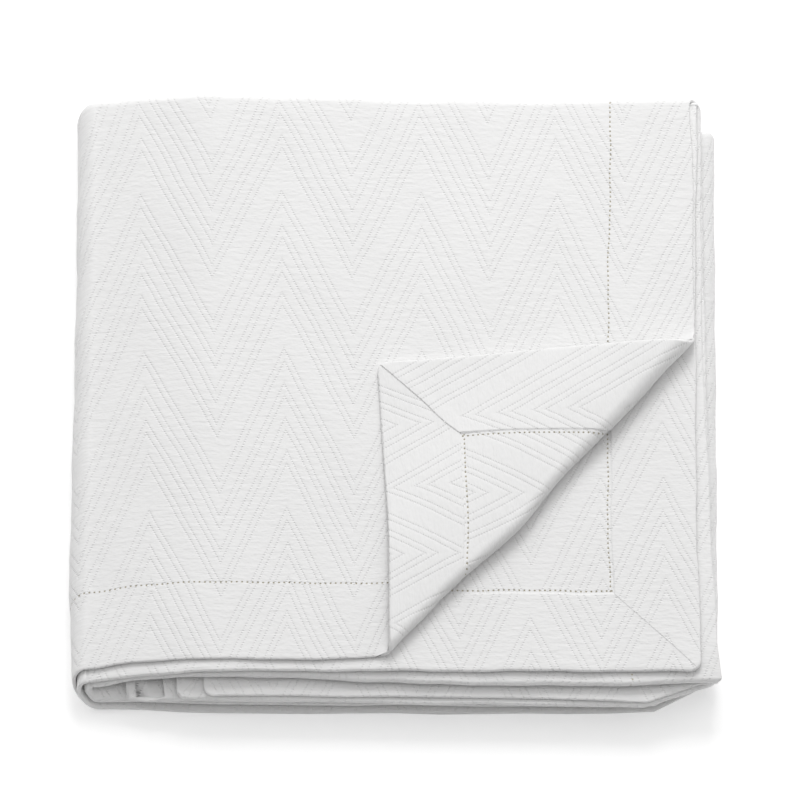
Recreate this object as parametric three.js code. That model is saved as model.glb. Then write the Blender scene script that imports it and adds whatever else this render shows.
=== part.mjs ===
// A white cotton coverlet, folded: one sheet with a wide hem turned in on its reverse all round.
// It is folded in quarters along its length, which makes a bundle of four layers, and the bundle
// is folded in thirds across the width, left fold first and right fold after it. The middle third
// lies inside the left fold. The front right corner of the top layer is turned back over the top.
// Millimetres, +Z up, hems towards the front at -Y. The origin is under the middle of the pile.

import * as THREE from "three";

// The flat sheet. "Across" is measured from the right hem of the top layer, "along" from its front hem.
const CLOTH_WIDTH = 1800;
const CLOTH_LENGTH = 2500;
const HALF_THICKNESS = 1.2;
const HEM_WIDTH = 85;
const HEM_EXTRA = 0.6; // how much thicker the doubled hem is, on the reverse
const HEM_STEP = 2; // width over which the hem comes down to the single cloth
const CORNER_RADIUS = 11;

// The pile.
const LAYER_PITCH = 5.25;
const BUNDLE = 4 * LAYER_PITCH;
const CORE_RADIUS = 0.6; // radius inside the left and right folds
const LEFT_FOLD_X = -296.5;
const RIGHT_FOLD_X = 302;
const BASE = LAYER_PITCH / 2 - HALF_THICKNESS; // the lowest layer's underside is this far above its own level
const MIDDLE_X = 2.49; // the middle of the pile, which becomes the origin
const MIDDLE_Y = 294.84;

// Unevenness of the pile: its left side leans out at the front, and its height varies in shallow waves.
// Under the top third, the left fold is tucked in at the front and the right fold is pushed back there.
const LEFT_LEAN = { out: 5.5, width: 220, depth: 500 };
const FRONT_Y = -32;
const LEFT_TUCK = { inward: 12, width: 130, depth: 130, top: 42, bottom: 2 };
const RIGHT_TUCK = { back: 24, start: 262, width: 46, depth: 150, top: 43, bottom: 40 };
const WAVES = [
  { rise: 0.008, x: 71, y: 160 },
  { rise: 0.006, x: -110, y: 53 },
];

// The top third lies on the middle third and slopes down to the left fold beyond the ends of it.
const SLOPE = 0.2;
const SLOPE_START_X = -294;
const SLOPE_RISE = BUNDLE + 0.5;
const SLOPE_BLEND = { start: 14, end: 34 };

// Y of the front edges along the folding path: 0 to 1 is the top third from its right end, 1 to 2 the
// left fold, 2 to 3 the bottom third, 3 to 4 the right fold and 4 to 5 the middle third.
// "outer" and "second" are the two hems of the bundle, "fold" is the front of its rounded front fold.
const FRONT_EDGES = [
  { path: 0, outer: 4, second: -5, fold: -13.5 },
  { path: 0.2, outer: 3, second: -5, fold: -17 },
  { path: 0.45, outer: 3, second: -5, fold: -15.5 },
  { path: 0.56, outer: 5, second: -4.5, fold: -12 },
  { path: 0.66, outer: 5, second: -4.5, fold: -9 },
  { path: 0.83, outer: 7.5, second: -4.5, fold: -6 },
  { path: 0.93, outer: 7, second: -6, fold: -6 },
  { path: 1, outer: 4.5, second: -8, fold: -9 },
  { path: 2, outer: -23, second: -25, fold: -20 },
  { path: 2.3, outer: -27.5, second: -28.5, fold: -23 },
  { path: 2.8, outer: -27.5, second: -28.5, fold: -25 },
  { path: 3.2, outer: -22, second: -24, fold: -24 },
  { path: 4, outer: -36, second: -38, fold: -28 },
  { path: 4.1, outer: -32, second: -35, fold: -27 },
  { path: 4.2, outer: -29, second: -33, fold: -26 },
  { path: 4.5, outer: -26, second: -31, fold: -26 },
  { path: 4.85, outer: -24.5, second: -28, fold: -24.5 },
  { path: 5, outer: -24, second: -25, fold: -24 },
];

// X of the right hems of the top third around the bundle: 0 to 1 is the outer layer from its hem to the
// back, 2 to 3 the lowest layer, 4 to 5 the third layer and 6 to 7 the second, with the turns between.
const RIGHT_EDGES = [
  { around: 0.0, x: 299 },
  { around: 0.3, x: 300.5 },
  { around: 0.92, x: 300 },
  { around: 1.0, x: 297 },
  { around: 2.0, x: 309 },
  { around: 2.6, x: 313 },
  { around: 3.0, x: 319 },
  { around: 4.0, x: 326 },
  { around: 4.1, x: 320 },
  { around: 4.28, x: 315 },
  { around: 4.6, x: 308 },
  { around: 5.0, x: 308 },
  { around: 6.0, x: 305 },
  { around: 6.3, x: 302 },
  { around: 6.7, x: 301.5 },
  { around: 7.0, x: 305.5 },
];

// The bundle's section from hem to hem. Levels and radii are in layer pitches.
const SECTION = [
  { kind: "run", from: "outer", to: "back", level: 3.5, steps: 10, hemFirst: true },
  { kind: "turn", at: "back", level: 2, radius: 1.5, side: 1, rise: -1, steps: 7 },
  { kind: "run", from: "back", to: "fold", level: 0.5, steps: 5 },
  { kind: "turn", at: "fold", level: 1, radius: 0.5, side: -1, rise: 1, steps: 5 },
  { kind: "run", from: "fold", to: "back", level: 1.5, steps: 5 },
  { kind: "turn", at: "back", level: 2, radius: 0.5, side: 1, rise: 1, steps: 4 },
  { kind: "run", from: "back", to: "second", level: 2.5, steps: 6, hemLast: true },
];

// The folding path from the right end of the top third to the left end of the middle third.
const PATH = [
  { name: "top", steps: 12, crowding: 1.5, hemFirst: true },
  { name: "leftFold", steps: 7 },
  { name: "bottom", steps: 6 },
  { name: "rightFold", steps: 7 },
  { name: "middle", steps: 5, hemLast: true },
];

// The turned-back corner. It rolls over a slightly conical fold that starts on the front hem.
const CORNER_ANGLE = THREE.MathUtils.degToRad(48);
const CORNER_START_X = -23.8;
const ROLL_RADIUS = { front: 5.4, right: 10.4 };
const ROLL_LENGTH = 450;
const ROLL_STEPS = 7;
const GLIDE = 19.5; // how far the corner slid along the fold as it was turned
const GLIDE_REACH = { before: 70, after: 130 };
const FLAP_REST = 3.5; // height of the flap over the top layer where it lies on it
const FLAP_SETTLE = 170; // distance over which it comes down from the roll
const FLAP_CUTS = [20, 45, 75, 110, 150];
const BOW_REACH = 70;
const NORMAL_PROBE = 0.05; // step for working out which way the turned cloth faces

// How far the fold of the turned-back corner bows out along its length.
const FOLD_BOW = [
  { place: 0, out: 0 },
  { place: 120, out: 0 },
  { place: 205, out: 6 },
  { place: 290, out: 0 },
  { place: 460, out: -4 },
];

function ease(share) {
  const t = THREE.MathUtils.clamp(share, 0, 1);
  return t * t * (3 - 2 * t);
}

// The value of a named column at a place between two rows of a table.
function readTable(rows, key, place, column) {
  const next = rows.findIndex((row) => row[key] > place);
  if (next === 0) return rows[0][column];
  if (next < 0) return rows[rows.length - 1][column];
  const low = rows[next - 1];
  const high = rows[next];
  const share = (place - low[key]) / (high[key] - low[key]);
  return THREE.MathUtils.lerp(low[column], high[column], ease(share));
}

// Distances of the mesh lines along a straight run, with the hem's own lines at a hemmed end.
function runMarks(length, { steps, crowding = 1, hemFirst, hemLast }) {
  const half = HEM_STEP / 2;
  const hem = [0, CORNER_RADIUS, HEM_WIDTH - half, HEM_WIDTH + half];
  const first = hemFirst ? hem : [0];
  const last = (hemLast ? hem : [0]).map((mark) => length - mark).reverse();
  const from = first[first.length - 1];
  const marks = [...first];
  for (let i = 1; i < steps; i++) {
    const share = 1 - (1 - i / steps) ** crowding;
    marks.push(THREE.MathUtils.lerp(from, last[0], share));
  }
  return [...marks, ...last];
}

// How many mesh lines a run or a turn has before the next one starts.
function lineCount(piece, isRun) {
  return isRun ? runMarks(1000, piece).length - 1 : piece.steps;
}

// The bundle's edges at a place on the folding path. The back follows from the cloth's length.
function bundleEdges(path) {
  const outer = readTable(FRONT_EDGES, "path", path, "outer");
  const second = readTable(FRONT_EDGES, "path", path, "second");
  const front = readTable(FRONT_EDGES, "path", path, "fold");
  const fold = front + LAYER_PITCH / 2 + HALF_THICKNESS;
  const turns = SECTION.filter((piece) => piece.kind === "turn");
  const turned = turns.reduce((sum, turn) => sum + Math.PI * turn.radius * LAYER_PITCH, 0);
  const back = (CLOTH_LENGTH - turned + outer + second + 2 * fold) / 4;
  return { outer, second, fold, back };
}

// Line k of a piece of the bundle's section: the distance along the cloth, Y and the level.
function sectionPoint(index, k, edges) {
  let along = 0;
  for (const piece of SECTION.slice(0, index)) along += sectionLength(piece, edges);
  const piece = SECTION[index];
  const length = sectionLength(piece, edges);
  if (piece.kind === "run") {
    const mark = runMarks(length, piece)[k];
    const share = mark / length;
    const y = THREE.MathUtils.lerp(edges[piece.from], edges[piece.to], share);
    return { along: along + mark, y, level: piece.level * LAYER_PITCH, around: index + share };
  }
  const share = k / piece.steps;
  const angle = Math.PI * share;
  const y = edges[piece.at] + piece.side * piece.radius * LAYER_PITCH * Math.sin(angle);
  const level = (piece.level - piece.rise * piece.radius * Math.cos(angle)) * LAYER_PITCH;
  return { along: along + length * share, y, level, around: index + share };
}

function sectionLength(piece, edges) {
  if (piece.kind === "turn") return Math.PI * piece.radius * LAYER_PITCH;
  return Math.abs(edges[piece.to] - edges[piece.from]);
}

// Height of the inside of the top third over the floor of the bundle's levels.
function topFloor(x) {
  const end = SLOPE_START_X + SLOPE_RISE / SLOPE;
  const bend = (from, width) => {
    const past = THREE.MathUtils.clamp(x - from + width / 2, 0, width);
    return (past * past) / (2 * width) + Math.max(x - from - width / 2, 0);
  };
  const run = bend(SLOPE_START_X, SLOPE_BLEND.start) - bend(end, SLOPE_BLEND.end);
  return BUNDLE + 2 * CORE_RADIUS + SLOPE * run;
}

// Line k of a piece of the folding path for cloth at a level of the bundle: across, X, Z and path.
function pathPoint(index, k, level, rightEdge) {
  const radius = CORE_RADIUS + level;
  const turned = Math.PI * radius;
  const bottom = RIGHT_FOLD_X - LEFT_FOLD_X;
  const top = rightEdge - LEFT_FOLD_X;
  const middle = CLOTH_WIDTH - top - bottom - 2 * turned;
  const lengths = [top, turned, bottom, turned, middle];
  const before = lengths.slice(0, index).reduce((sum, length) => sum + length, 0);
  const piece = PATH[index];
  const isRun = index % 2 === 0;
  const mark = isRun ? runMarks(lengths[index], piece)[k] : (turned * k) / piece.steps;
  const share = mark / lengths[index];
  const angle = Math.PI * share;
  const places = {
    top: () => [rightEdge - mark, topFloor(rightEdge - mark) + level],
    leftFold: () => [LEFT_FOLD_X - radius * Math.sin(angle), BUNDLE + CORE_RADIUS + radius * Math.cos(angle)],
    bottom: () => [LEFT_FOLD_X + mark, BUNDLE - level],
    rightFold: () => [RIGHT_FOLD_X + radius * Math.sin(angle), BUNDLE + CORE_RADIUS - radius * Math.cos(angle)],
    middle: () => [RIGHT_FOLD_X - mark, BUNDLE + 2 * CORE_RADIUS + level],
  };
  const [x, z] = places[piece.name]();
  return { across: before + mark, x, z: z - BASE, path: index + share };
}

// Rounds the four corners of the sheet: how far a point near one moves in from the two edges.
function cornerShift(fromSide, fromEnd) {
  const a = CORNER_RADIUS - fromSide;
  const b = CORNER_RADIUS - fromEnd;
  if (a <= 0 || b <= 0) return [0, 0];
  const scale = 1 - Math.max(a, b) / Math.hypot(a, b);
  return [a * scale, b * scale];
}

// One point of the folded sheet before its corner is turned back.
function clothPoint(column, row) {
  const flat = sectionPoint(row.index, row.k, bundleEdges(0));
  const rightEdge = readTable(RIGHT_EDGES, "around", flat.around, "x");
  const place = pathPoint(column.index, column.k, flat.level, rightEdge);
  const section = sectionPoint(row.index, row.k, bundleEdges(place.path));
  const across = place.across;
  const along = section.along;
  const fromSide = Math.min(across, CLOTH_WIDTH - across);
  const fromEnd = Math.min(along, CLOTH_LENGTH - along);
  const [inward, back] = cornerShift(fromSide, fromEnd);
  const towards = across < CLOTH_WIDTH / 2 ? -1 : 1;
  const position = new THREE.Vector3(place.x + towards * inward, section.y + back, place.z);
  const onTop = column.index === 0 && row.index === 0;
  return { position, across, along, fromEdge: Math.min(fromSide, fromEnd), onTop };
}

// Where a point of the top layer lies against the corner's fold: distances and the roll's angle.
function foldPlace(x, y) {
  const foldward = new THREE.Vector2(Math.cos(CORNER_ANGLE), Math.sin(CORNER_ANGLE));
  const outward = new THREE.Vector2(foldward.y, -foldward.x);
  const growth = (ROLL_RADIUS.right - ROLL_RADIUS.front) / ROLL_LENGTH;
  const tip = new THREE.Vector2(CORNER_START_X, 0).addScaledVector(foldward, -ROLL_RADIUS.front / growth);
  const start = new THREE.Vector2(x - CORNER_START_X, y);
  const reach = GLIDE_REACH.before + GLIDE_REACH.after;
  const glide = GLIDE * ease((start.dot(outward) + GLIDE_REACH.before) / reach);
  const arm = new THREE.Vector2(x, y).addScaledVector(foldward, glide).sub(tip);
  const distance = arm.length();
  const sine = Math.sin(Math.atan(growth));
  const turned = Math.atan2(arm.dot(outward), arm.dot(foldward));
  const past = distance * Math.sin(Math.min(turned - Math.PI * sine, Math.PI / 2));
  return { foldward, outward, tip, arm, distance, sine, turned, past };
}

// Turns the corner of the top layer back over a roll and lays it down on the layer.
function turnCorner({ x, y, z }) {
  const fold = foldPlace(x, y);
  const radius = fold.distance * fold.sine;
  const roll = fold.turned / fold.sine;
  const place = fold.tip.clone();
  let height = 0;
  if (roll <= 0) {
    place.add(fold.arm);
  } else if (roll < Math.PI) {
    place.addScaledVector(fold.foldward, fold.distance);
    place.addScaledVector(fold.outward, radius * Math.sin(roll));
    height = radius * (1 - Math.cos(roll));
  } else {
    const angle = fold.turned - Math.PI * fold.sine;
    place.addScaledVector(fold.foldward, fold.distance * Math.cos(angle));
    place.addScaledVector(fold.outward, -fold.distance * Math.sin(angle));
    height = THREE.MathUtils.lerp(2 * radius, FLAP_REST, ease(fold.past / FLAP_SETTLE));
  }
  const lengthwise = fold.distance - ROLL_RADIUS.front / fold.sine;
  const aside = Math.abs(place.clone().sub(fold.tip).dot(fold.outward));
  const bow = readTable(FOLD_BOW, "place", lengthwise, "out") * (1 - ease(aside / BOW_REACH));
  place.addScaledVector(fold.outward, bow);
  return new THREE.Vector3(place.x, place.y, z + height);
}

// How far a point is tucked in to the right at the front of the left fold.
function leftTuck({ x, y, z }) {
  const { inward, width, depth, top, bottom } = LEFT_TUCK;
  const near = (1 - ease((y - FRONT_Y) / depth)) * (1 - ease((x - LEFT_FOLD_X) / width));
  return inward * near * ease((top - z) / (top - bottom));
}

// How far a point is pushed back at the front of the right fold.
function rightTuck({ x, y, z }) {
  const { back, start, width, depth, top, bottom } = RIGHT_TUCK;
  const near = (1 - ease((y - FRONT_Y) / depth)) * ease((x - start) / width);
  return back * near * ease((top - z) / (top - bottom));
}

// The pile is a little uneven: its left side leans out at the front and its height varies.
function settle(position) {
  const { x, y, z } = position;
  const frontness = 1 - ease(y / LEFT_LEAN.depth);
  const leftness = 1 - ease((x - LEFT_FOLD_X) / LEFT_LEAN.width);
  const lean = LEFT_LEAN.out * frontness * leftness - leftTuck(position);
  let wave = 0;
  for (const { rise, x: lengthX, y: lengthY } of WAVES) wave += rise * Math.sin(x / lengthX + y / lengthY);
  const height = z + (z - HALF_THICKNESS) * wave;
  return new THREE.Vector3(x - lean - MIDDLE_X, y + rightTuck(position) - MIDDLE_Y, height);
}

// Cuts every triangle that a level of a field crosses, so that mesh lines follow the level.
function sliceAt(points, triangles, field, level) {
  const values = points.map((point) => (point.onTop ? field(point) : -Infinity));
  const made = new Map();
  const near = 1e-6;
  const between = (a, b) => {
    const key = a < b ? `${a}_${b}` : `${b}_${a}`;
    if (!made.has(key)) {
      const share = (level - values[a]) / (values[b] - values[a]);
      const position = points[a].position.clone().lerp(points[b].position, share);
      const mix = (name) => THREE.MathUtils.lerp(points[a][name], points[b][name], share);
      const point = { position, across: mix("across"), along: mix("along"), onTop: true };
      made.set(key, points.push({ ...point, fromEdge: mix("fromEdge") }) - 1);
      values.push(level);
    }
    return made.get(key);
  };
  const cut = [];
  for (const triangle of triangles) {
    const side = triangle.map((i) => (Math.abs(values[i] - level) < near ? 0 : Math.sign(values[i] - level)));
    const lone = side.findIndex((s, i) => s !== 0 && side[(i + 1) % 3] !== s && side[(i + 2) % 3] !== s);
    const crossed = side.includes(1) && side.includes(-1);
    if (!crossed || triangle.some((i) => values[i] === -Infinity)) {
      cut.push(triangle);
      continue;
    }
    const [a, b, c] = [0, 1, 2].map((turn) => triangle[(lone + turn) % 3]);
    const [sb, sc] = [side[(lone + 1) % 3], side[(lone + 2) % 3]];
    if (sb === 0) {
      const ca = between(c, a);
      cut.push([a, b, ca], [b, c, ca]);
    } else if (sc === 0) {
      const ab = between(a, b);
      cut.push([a, ab, c], [ab, b, c]);
    } else {
      const ab = between(a, b);
      const ca = between(c, a);
      cut.push([a, ab, ca], [ab, b, c], [ab, c, ca]);
    }
  }
  return cut;
}

// The lines of one direction of the mesh, each as a piece of the path or section and a line in it.
function meshLines(pieces, isRun) {
  const lines = [];
  pieces.forEach((piece, index) => {
    const count = lineCount(piece, isRun(piece, index));
    for (let k = 0; k < count; k++) lines.push({ index, k });
    if (index === pieces.length - 1) lines.push({ index, k: count });
  });
  return lines;
}

// The middle surface of the folded sheet as points and triangles that face the cloth's face side.
function middleSurface() {
  const columns = meshLines(PATH, (piece, index) => index % 2 === 0);
  const rows = meshLines(SECTION, (piece) => piece.kind === "run");
  const points = [];
  for (const row of rows) for (const column of columns) points.push(clothPoint(column, row));
  const width = columns.length;
  let triangles = [];
  for (let j = 0; j + 1 < rows.length; j++) {
    for (let i = 0; i + 1 < width; i++) {
      const [a, b, c, d] = [j * width + i, j * width + i + 1, (j + 1) * width + i, (j + 1) * width + i + 1];
      triangles.push([a, c, b], [b, c, d]);
    }
  }
  const rolled = (point) => {
    const fold = foldPlace(point.position.x, point.position.y);
    return fold.turned / fold.sine;
  };
  for (let i = 0; i <= ROLL_STEPS; i++) {
    triangles = sliceAt(points, triangles, rolled, (Math.PI * i) / ROLL_STEPS);
  }
  const past = (point) => foldPlace(point.position.x, point.position.y).past;
  for (const level of FLAP_CUTS) triangles = sliceAt(points, triangles, past, level);
  for (const point of points) {
    if (point.onTop) turnPoint(point);
    else point.position = settle(point.position);
  }
  return { points, triangles };
}

// Moves a point of the top layer to its place and works out the cloth's own direction there.
function turnPoint(point) {
  const at = (dx, dy) => settle(turnCorner(point.position.clone().add(new THREE.Vector3(dx, dy, 0))));
  const acrossX = at(NORMAL_PROBE, 0).sub(at(-NORMAL_PROBE, 0));
  const acrossY = at(0, NORMAL_PROBE).sub(at(0, -NORMAL_PROBE));
  point.normal = acrossX.cross(acrossY).normalize();
  point.position = at(0, 0);
}

// Directed edges that only one triangle has: the edge of the sheet.
function openEdges(triangles) {
  const edges = new Map();
  for (const [a, b, c] of triangles) {
    for (const [from, to] of [[a, b], [b, c], [c, a]]) {
      if (edges.has(`${to}_${from}`)) edges.delete(`${to}_${from}`);
      else edges.set(`${from}_${to}`, [from, to]);
    }
  }
  return [...edges.values()];
}

// Gives the middle surface its thickness, more of it in the hem, and closes its edge.
function thicken({ points, triangles }) {
  const middle = new THREE.BufferGeometry();
  middle.setAttribute("position", new THREE.Float32BufferAttribute(points.flatMap((p) => p.position.toArray()), 3));
  middle.setIndex(triangles.flat());
  middle.computeVertexNormals();
  const normals = middle.getAttribute("normal");
  const face = [];
  const reverse = [];
  points.forEach((point, i) => {
    const normal = point.normal ?? new THREE.Vector3().fromBufferAttribute(normals, i);
    const hem = 1 - ease((point.fromEdge - HEM_WIDTH) / HEM_STEP + 0.5);
    const depth = HALF_THICKNESS + HEM_EXTRA * hem;
    face.push(...point.position.clone().addScaledVector(normal, HALF_THICKNESS).toArray());
    reverse.push(...point.position.clone().addScaledVector(normal, -depth).toArray());
  });
  const count = points.length;
  const index = [];
  for (const [a, b, c] of triangles) index.push(a, b, c, count + a, count + c, count + b);
  for (const [from, to] of openEdges(triangles)) {
    index.push(from, count + from, count + to, from, count + to, to);
  }
  const solid = new THREE.BufferGeometry();
  solid.setAttribute("position", new THREE.Float32BufferAttribute([...face, ...reverse], 3));
  solid.setIndex(index);
  return solid;
}

const cotton = new THREE.MeshStandardMaterial({ color: 0xf1f0ee, roughness: 0.9, metalness: 0 });
const coverlet = new THREE.Mesh(thicken(middleSurface()), cotton);
coverlet.name = "coverlet";

const group = new THREE.Group();
group.add(coverlet);

export default group;
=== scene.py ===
"""A white cotton coverlet with raised chevron lines, folded into a flat pile with one corner turned back.

The cloth is one sheet. It is folded in quarters along its length and in thirds across its width, and its
wide hems are turned in on the reverse and edged with drawn-thread holes. Folding lengths are in millimetres
and every Blender object is in metres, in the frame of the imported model.
"""

import math

import bpy
import numpy as np
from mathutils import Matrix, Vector


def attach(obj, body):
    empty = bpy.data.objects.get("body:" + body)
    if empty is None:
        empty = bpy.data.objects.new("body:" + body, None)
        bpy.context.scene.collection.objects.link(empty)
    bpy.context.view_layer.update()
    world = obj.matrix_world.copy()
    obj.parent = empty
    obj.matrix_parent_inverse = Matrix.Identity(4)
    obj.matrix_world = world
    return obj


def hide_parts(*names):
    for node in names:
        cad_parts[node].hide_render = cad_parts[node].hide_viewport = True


bl_info = {
    "name": "Folded Coverlet",
    "version": (1, 0, 0),
    "blender": (4, 5, 0),
    "location": "3D View > Sidebar > Coverlet",
    "description": "Folds a chevron coverlet into a pile and sets it in a pale studio",
    "category": "Object",
}

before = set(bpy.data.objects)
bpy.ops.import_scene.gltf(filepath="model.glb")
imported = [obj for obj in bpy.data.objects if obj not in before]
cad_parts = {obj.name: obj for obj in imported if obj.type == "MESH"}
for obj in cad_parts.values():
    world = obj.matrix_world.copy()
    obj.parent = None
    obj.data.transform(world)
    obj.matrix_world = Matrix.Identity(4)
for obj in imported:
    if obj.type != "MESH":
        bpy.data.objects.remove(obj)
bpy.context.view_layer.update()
MM = 0.001

# The pile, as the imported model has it.
LAYER_PITCH = 5.25
BUNDLE = 4 * LAYER_PITCH
CORE_RADIUS = 0.6
LEFT_FOLD_X = -296.5
RIGHT_FOLD_X = 302.0
SOLID_HALF_THICKNESS = 1.2
BASE = LAYER_PITCH / 2 - SOLID_HALF_THICKNESS
MIDDLE_X = 2.49
MIDDLE_Y = 294.84
CORNER_RADIUS = 11.0
LEFT_LEAN = {"out": 5.5, "width": 220.0, "depth": 500.0}
FRONT_Y = -32.0
LEFT_TUCK = {"inward": 12.0, "width": 130.0, "depth": 130.0, "top": 42.0, "bottom": 2.0}
RIGHT_TUCK = {"back": 24.0, "start": 262.0, "width": 46.0, "depth": 150.0, "top": 43.0, "bottom": 40.0}
WAVES = (
    {"rise": 0.008, "x": 71.0, "y": 160.0},
    {"rise": 0.006, "x": -110.0, "y": 53.0},
)
SLOPE = 0.2
SLOPE_START_X = -294.0
SLOPE_RISE = BUNDLE + 0.5
SLOPE_BLEND = {"start": 14.0, "end": 34.0}

# Y of the front edges along the folding path: 0 to 1 is the top third from its right end, 1 to 2 the
# left fold, 2 to 3 the bottom third, 3 to 4 the right fold and 4 to 5 the middle third.
FRONT_EDGES = (
    {"path": 0, "outer": 4, "second": -5, "fold": -13.5},
    {"path": 0.2, "outer": 3, "second": -5, "fold": -17},
    {"path": 0.45, "outer": 3, "second": -5, "fold": -15.5},
    {"path": 0.56, "outer": 5, "second": -4.5, "fold": -12},
    {"path": 0.66, "outer": 5, "second": -4.5, "fold": -9},
    {"path": 0.83, "outer": 7.5, "second": -4.5, "fold": -6},
    {"path": 0.93, "outer": 7, "second": -6, "fold": -6},
    {"path": 1, "outer": 4.5, "second": -8, "fold": -9},
    {"path": 2, "outer": -23, "second": -25, "fold": -20},
    {"path": 2.3, "outer": -27.5, "second": -28.5, "fold": -23},
    {"path": 2.8, "outer": -27.5, "second": -28.5, "fold": -25},
    {"path": 3.2, "outer": -22, "second": -24, "fold": -24},
    {"path": 4, "outer": -36, "second": -38, "fold": -28},
    {"path": 4.1, "outer": -32, "second": -35, "fold": -27},
    {"path": 4.2, "outer": -29, "second": -33, "fold": -26},
    {"path": 4.5, "outer": -26, "second": -31, "fold": -26},
    {"path": 4.85, "outer": -24.5, "second": -28, "fold": -24.5},
    {"path": 5, "outer": -24, "second": -25, "fold": -24},
)

# X of the right hems of the top third around the bundle, from the outer layer's hem to the second layer's.
RIGHT_EDGES = (
    {"around": 0.0, "x": 299},
    {"around": 0.3, "x": 300.5},
    {"around": 0.92, "x": 300},
    {"around": 1.0, "x": 297},
    {"around": 2.0, "x": 309},
    {"around": 2.6, "x": 313},
    {"around": 3.0, "x": 319},
    {"around": 4.0, "x": 326},
    {"around": 4.1, "x": 320},
    {"around": 4.28, "x": 315},
    {"around": 4.6, "x": 308},
    {"around": 5.0, "x": 308},
    {"around": 6.0, "x": 305},
    {"around": 6.3, "x": 302},
    {"around": 6.7, "x": 301.5},
    {"around": 7.0, "x": 305.5},
)

# Mesh lines beside a hemmed edge: its rounded rim, the rounded corner, the hem's step and the hole strip.
HOLE_STRIP = (-1.1, -0.5, 0.5, 1.1)
HOLE_LINE = 88.0
HOLE_CORNER = 2.0
STEP_LINES = (84.0, 85.0)
STEP_GUARDS = (83.0, 86.0)
RIM_LINES = (0.0, 0.25, 0.8, 1.8, 4.5, 7.5, CORNER_RADIUS)
PLAIN_HEM_LINES = (*RIM_LINES, 30.0, 56.0, STEP_GUARDS[0], *STEP_LINES, STEP_GUARDS[1])
HEM_LINES = (*PLAIN_HEM_LINES, *(HOLE_LINE + offset for offset in HOLE_STRIP), 90.0)
FOLD_LINES = (0.0, 3.5, 7.0, 11.0, 16.0)

# Mesh lines beside a mitre, whose seam has the side hem over the front hem. The seam is a line at its dip,
# and the step fades over the side hem. The mitre of the second layer is flatter.
MITRE_LINES = (-4.0, -2.1, -1.3, -0.5, 0.0, 0.8, 4.0, 10.0, 18.0, 26.0)
SEAM = {"dip": -0.5, "fade_start": 0.8, "fade": 25.0}
SECOND_SEAM = 0.4

# Least share of the cloth's thickness at its rim, and how far from it the cloth is cut for its details.
RIM_LEAST = 0.25
RIM_KEPT = 1.7

# The bundle's section from hem to hem. Levels and radii are in layer pitches.
SECTION = (
    {"from": "outer", "to": "back", "level": 3.5, "steps": 38, "first": HEM_LINES},
    {"at": "back", "level": 2, "radius": 1.5, "side": 1, "rise": -1, "steps": 14},
    {"from": "back", "to": "fold", "level": 0.5, "steps": 14},
    {"at": "fold", "level": 1, "radius": 0.5, "side": -1, "rise": 1, "steps": 8},
    {"from": "fold", "to": "back", "level": 1.5, "steps": 14},
    {"at": "back", "level": 2, "radius": 0.5, "side": 1, "rise": 1, "steps": 7},
    {"from": "back", "to": "second", "level": 2.5, "steps": 24, "last": HEM_LINES},
)

# The folding path from the right end of the top third to the left end of the middle third.
PATH = (
    {"name": "top", "steps": 36, "first": HEM_LINES, "last": FOLD_LINES},
    {"name": "left_fold", "steps": 20},
    {"name": "bottom", "steps": 14},
    {"name": "right_fold", "steps": 16},
    {"name": "middle", "steps": 8, "last": PLAIN_HEM_LINES},
)

# The turned-back corner, which rolls over a slightly conical fold that starts on the front hem.
CORNER_ANGLE = math.radians(48)
CORNER_START_X = -23.8
ROLL_RADIUS = {"front": 5.4, "right": 10.4}
ROLL_LENGTH = 450.0
ROLL_STEPS = 16
GLIDE = 19.5
GLIDE_REACH = {"before": 70.0, "after": 130.0}
FLAP_REST = 3.5
FLAP_SETTLE = 170.0
FLAP_CUT_PITCH = 14.0
BOW_REACH = 70.0
FOLD_BOW = (
    {"place": 0, "out": 0},
    {"place": 120, "out": 0},
    {"place": 205, "out": 6},
    {"place": 290, "out": 0},
    {"place": 460, "out": -4},
)

# How much of the second layer the turned-back corner uncovers.
SECOND_SEEN = {"across": 340.0, "from_end": 380.0}

# The chevrons, in the cloth's own millimetres: across from the right hem and along from the front hem.
PEAK_ACROSS = 129.5
HALF_PERIOD = 70.5
CHEVRON_DROP = 142.0
REPEAT = 170.0
BANDS = (0.0, 60.5, 96.3, 133.0)
GROOVE_OFFSET = 6.75
SQUARE_ON = HALF_PERIOD / math.hypot(HALF_PERIOD, CHEVRON_DROP)

# How far the pattern of each panel of the reverse is shifted across, on the top and second layers.
PATTERN_SHIFT = {
    "top": {"side": -16.0, "end": -10.0, "ground": -20.0},
    "second": {"side": -49.0, "end": -39.0, "ground": -36.5},
}

# How the pattern drifts: on the face, across towards the right hem and along from the front hem, and
# on both sides across near the left fold.
FACE_ACROSS = {"right": -10.0, "width": 350.0}
FACE_ALONG = {"front": 17.0, "growth": -0.0203, "right": 5.0, "width": 260.0}
DRIFT = {"across": 18.0, "start": 270.0, "width": 283.0, "depth": 500.0}

# How much nearer the edges the hemstitch lies than on the flat cloth, where washing has drawn the hems in.
SIDE_PULL = (
    {"along": 0, "inward": 0},
    {"along": 88, "inward": 0},
    {"along": 230, "inward": -3.2},
    {"along": 340, "inward": 2.5},
    {"along": 400, "inward": 2.6},
    {"along": 500, "inward": 4.9},
    {"along": 610, "inward": 8},
    {"along": 720, "inward": 0},
)
END_PULL = {"front": 5.5, "second": 1.5}
PULL_REACH = {"start": CORNER_RADIUS, "hem": 72.0, "ground": 90.0, "fade": 150.0}

# How much further back the back edge of the top third lies, and how soon that fades towards the front.
BACK_REACH = {"flat": 1.5, "slope": 0.2, "depth": 30.0}

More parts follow.
